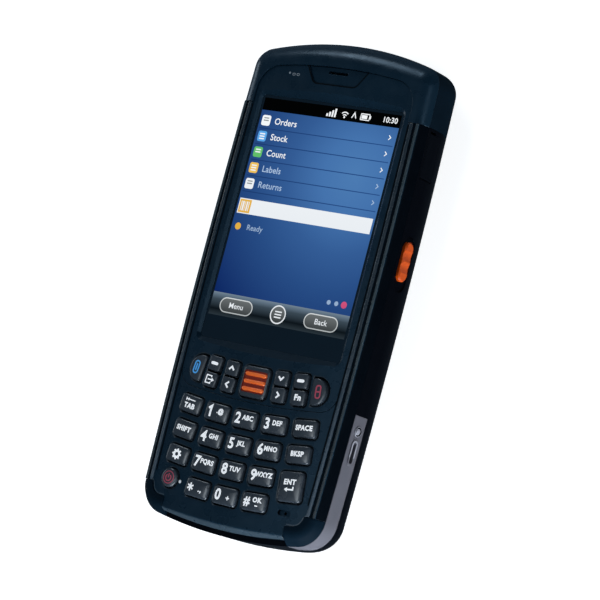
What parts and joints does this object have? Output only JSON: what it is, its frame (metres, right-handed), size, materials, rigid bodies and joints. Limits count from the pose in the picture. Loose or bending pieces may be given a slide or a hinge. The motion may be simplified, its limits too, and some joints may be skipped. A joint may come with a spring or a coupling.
{
  "type": "handheld barcode data terminal",
  "caption": "Rugged handheld barcode terminal with a touch display above an arched keypad, scan keys in front and in both flanks, a hinged port cover and a battery cover on the back.",
  "frame": {"origin": "on the resting plane, under the centre of the bounding box", "axes": "+Y along the body towards the scanning end, +Z out of the display, +X to the right of someone who faces the display"},
  "size_m": [0.0744, 0.1582, 0.0275],
  "materials": {
    "body": "fine matt texture",
    "bumper": "satin",
    "bezel": "semi-matt",
    "lens": "polished",
    "module": "matt",
    "steel": "bright",
    "scan_pane": "polished",
    "component": "matt",
    "band": "satin",
    "membrane": "matt",
    "board": "solder mask",
    "battery": "matt",
    "screw": "blackened",
    "flap": "matt",
    "scan_key": "satin",
    "key": "satin"
  },
  "bodies": {
    "housing": {"battery_pack": "battery", "bottom_left_bumper": "bumper", "bottom_right_bumper": "bumper", "camera_module": "component", "camera_window": "scan_pane", "dock_connector": "component", "earpiece": "component", "front_housing": "body", "housing_screws": "screw", "keypad_board": "board", "keypad_membrane": "membrane", "lcd_bracket": "steel", "lcd_module": "module", "loudspeaker": "component", "main_board": "board", "port_socket": "steel", "rear_housing": "body", "scan_engine": "component", "scan_window": "scan_pane", "scanner_cap": "body", "screen_bezel": "bezel", "side_band": "band", "side_switches": "component", "top_bumper": "bumper", "touch_panel": "lens"},
    "battery_cover": {"battery_cover": "body"},
    "battery_latch": {"battery_latch": "bumper"},
    "port_cover": {"port_cover": "flap"},
    "right_scan_button": {"right_scan_button": "scan_key"},
    "left_scan_button": {"left_scan_button": "scan_key"},
    "key_power": {"key_power": "key"},
    "key_tab": {"key_tab": "key"},
    "key_1": {"key_1": "key"},
    "key_2": {"key_2": "key"},
    "key_3": {"key_3": "key"},
    "key_space": {"key_space": "key"},
    "key_shift": {"key_shift": "key"},
    "key_4": {"key_4": "key"},
    "key_5": {"key_5": "key"},
    "key_6": {"key_6": "key"},
    "key_backspace": {"key_backspace": "key"},
    "key_settings": {"key_settings": "key"},
    "key_7": {"key_7": "key"},
    "key_8": {"key_8": "key"},
    "key_9": {"key_9": "key"},
    "key_enter": {"key_enter": "key"},
    "key_star": {"key_star": "key"},
    "key_0": {"key_0": "key"},
    "key_hash": {"key_hash": "key"},
    "key_call": {"key_call": "key"},
    "key_scan": {"key_scan": "scan_key"},
    "key_end": {"key_end": "key"},
    "key_soft_left": {"key_soft_left": "key"},
    "key_exit": {"key_exit": "key"},
    "key_up": {"key_up": "key"},
    "key_left": {"key_left": "key"},
    "key_down": {"key_down": "key"},
    "key_right": {"key_right": "key"},
    "key_soft_right": {"key_soft_right": "key"},
    "key_fn": {"key_fn": "key"}
  },
  "joints": [
    {"name": "key_power_press", "type": "slide", "parent": "housing", "child": "key_power", "axis": [0, 0, -1], "range_m": [0, 0.0006], "stiffness_N_per_m": 400, "springref_m": -0.0003},
    {"name": "key_tab_press", "type": "slide", "parent": "housing", "child": "key_tab", "axis": [0, 0, -1], "range_m": [0, 0.0006], "stiffness_N_per_m": 400, "springref_m": -0.0003},
    {"name": "key_1_press", "type": "slide", "parent": "housing", "child": "key_1", "axis": [0, 0, -1], "range_m": [0, 0.0006], "stiffness_N_per_m": 400, "springref_m": -0.0003},
    {"name": "key_2_press", "type": "slide", "parent": "housing", "child": "key_2", "axis": [0, 0, -1], "range_m": [0, 0.0006], "stiffness_N_per_m": 400, "springref_m": -0.0003},
    {"name": "key_3_press", "type": "slide", "parent": "housing", "child": "key_3", "axis": [0, 0, -1], "range_m": [0, 0.0006], "stiffness_N_per_m": 400, "springref_m": -0.0003},
    {"name": "key_space_press", "type": "slide", "parent": "housing", "child": "key_space", "axis": [0, 0, -1], "range_m": [0, 0.0006], "stiffness_N_per_m": 400, "springref_m": -0.0003},
    {"name": "key_shift_press", "type": "slide", "parent": "housing", "child": "key_shift", "axis": [0, 0, -1], "range_m": [0, 0.0006], "stiffness_N_per_m": 400, "springref_m": -0.0003},
    {"name": "key_4_press", "type": "slide", "parent": "housing", "child": "key_4", "axis": [0, 0, -1], "range_m": [0, 0.0006], "stiffness_N_per_m": 400, "springref_m": -0.0003},
    {"name": "key_5_press", "type": "slide", "parent": "housing", "child": "key_5", "axis": [0, 0, -1], "range_m": [0, 0.0006], "stiffness_N_per_m": 400, "springref_m": -0.0003},
    {"name": "key_6_press", "type": "slide", "parent": "housing", "child": "key_6", "axis": [0, 0, -1], "range_m": [0, 0.0006], "stiffness_N_per_m": 400, "springref_m": -0.0003},
    {"name": "key_backspace_press", "type": "slide", "parent": "housing", "child": "key_backspace", "axis": [0, 0, -1], "range_m": [0, 0.0006], "stiffness_N_per_m": 400, "springref_m": -0.0003},
    {"name": "key_settings_press", "type": "slide", "parent": "housing", "child": "key_settings", "axis": [0, 0, -1], "range_m": [0, 0.0006], "stiffness_N_per_m": 400, "springref_m": -0.0003},
    {"name": "key_7_press", "type": "slide", "parent": "housing", "child": "key_7", "axis": [0, 0, -1], "range_m": [0, 0.0006], "stiffness_N_per_m": 400, "springref_m": -0.0003},
    {"name": "key_8_press", "type": "slide", "parent": "housing", "child": "key_8", "axis": [0, 0, -1], "range_m": [0, 0.0006], "stiffness_N_per_m": 400, "springref_m": -0.0003},
    {"name": "key_9_press", "type": "slide", "parent": "housing", "child": "key_9", "axis": [0, 0, -1], "range_m": [0, 0.0006], "stiffness_N_per_m": 400, "springref_m": -0.0003},
    {"name": "key_enter_press", "type": "slide", "parent": "housing", "child": "key_enter", "axis": [0, 0, -1], "range_m": [0, 0.0006], "stiffness_N_per_m": 400, "springref_m": -0.0003},
    {"name": "key_star_press", "type": "slide", "parent": "housing", "child": "key_star", "axis": [0, 0, -1], "range_m": [0, 0.0006], "stiffness_N_per_m": 400, "springref_m": -0.0003},
    {"name": "key_0_press", "type": "slide", "parent": "housing", "child": "key_0", "axis": [0, 0, -1], "range_m": [0, 0.0006], "stiffness_N_per_m": 400, "springref_m": -0.0003},
    {"name": "key_hash_press", "type": "slide", "parent": "housing", "child": "key_hash", "axis": [0, 0, -1], "range_m": [0, 0.0006], "stiffness_N_per_m": 400, "springref_m": -0.0003},
    {"name": "key_call_press", "type": "slide", "parent": "housing", "child": "key_call", "axis": [0, 0, -1], "range_m": [0, 0.0006], "stiffness_N_per_m": 400, "springref_m": -0.0003},
    {"name": "key_scan_press", "type": "slide", "parent": "housing", "child": "key_scan", "axis": [0, 0, -1], "range_m": [0, 0.0006], "stiffness_N_per_m": 400, "springref_m": -0.0003},
    {"name": "key_end_press", "type": "slide", "parent": "housing", "child": "key_end", "axis": [0, 0, -1], "range_m": [0, 0.0006], "stiffness_N_per_m": 400, "springref_m": -0.0003},
    {"name": "key_soft_left_press", "type": "slide", "parent": "housing", "child": "key_soft_left", "axis": [0, 0, -1], "range_m": [0, 0.0006], "stiffness_N_per_m": 400, "springref_m": -0.0003},
    {"name": "key_exit_press", "type": "slide", "parent": "housing", "child": "key_exit", "axis": [0, 0, -1], "range_m": [0, 0.0006], "stiffness_N_per_m": 400, "springref_m": -0.0003},
    {"name": "key_up_press", "type": "slide", "parent": "housing", "child": "key_up", "axis": [0, 0, -1], "range_m": [0, 0.0006], "stiffness_N_per_m": 400, "springref_m": -0.0003},
    {"name": "key_left_press", "type": "slide", "parent": "housing", "child": "key_left", "axis": [0, 0, -1], "range_m": [0, 0.0006], "stiffness_N_per_m": 400, "springref_m": -0.0003},
    {"name": "key_down_press", "type": "slide", "parent": "housing", "child": "key_down", "axis": [0, 0, -1], "range_m": [0, 0.0006], "stiffness_N_per_m": 400, "springref_m": -0.0003},
    {"name": "key_right_press", "type": "slide", "parent": "housing", "child": "key_right", "axis": [0, 0, -1], "range_m": [0, 0.0006], "stiffness_N_per_m": 400, "springref_m": -0.0003},
    {"name": "key_soft_right_press", "type": "slide", "parent": "housing", "child": "key_soft_right", "axis": [0, 0, -1], "range_m": [0, 0.0006], "stiffness_N_per_m": 400, "springref_m": -0.0003},
    {"name": "key_fn_press", "type": "slide", "parent": "housing", "child": "key_fn", "axis": [0, 0, -1], "range_m": [0, 0.0006], "stiffness_N_per_m": 400, "springref_m": -0.0003},
    {"name": "right_scan_press", "type": "slide", "parent": "housing", "child": "right_scan_button", "axis": [-1, 0, 0], "range_m": [0, 0.0006], "stiffness_N_per_m": 500, "springref_m": -0.0003},
    {"name": "left_scan_press", "type": "slide", "parent": "housing", "child": "left_scan_button", "axis": [1, 0, 0], "range_m": [0, 0.0006], "stiffness_N_per_m": 500, "springref_m": -0.0003},
    {"name": "port_cover_hinge", "type": "hinge", "parent": "housing", "child": "port_cover", "pos_m": [0.03558, 0.04165, 0.0171], "axis": [0, 0, -1], "range_deg": [0, 100]},
    {"name": "battery_latch_slide", "type": "slide", "parent": "housing", "child": "battery_latch", "axis": [0, 1, 0], "range_m": [0, 0.003]},
    {"name": "battery_cover_lift", "type": "slide", "parent": "housing", "child": "battery_cover", "axis": [0, 0, -1], "range_m": [0, 0.015]}
  ]
}
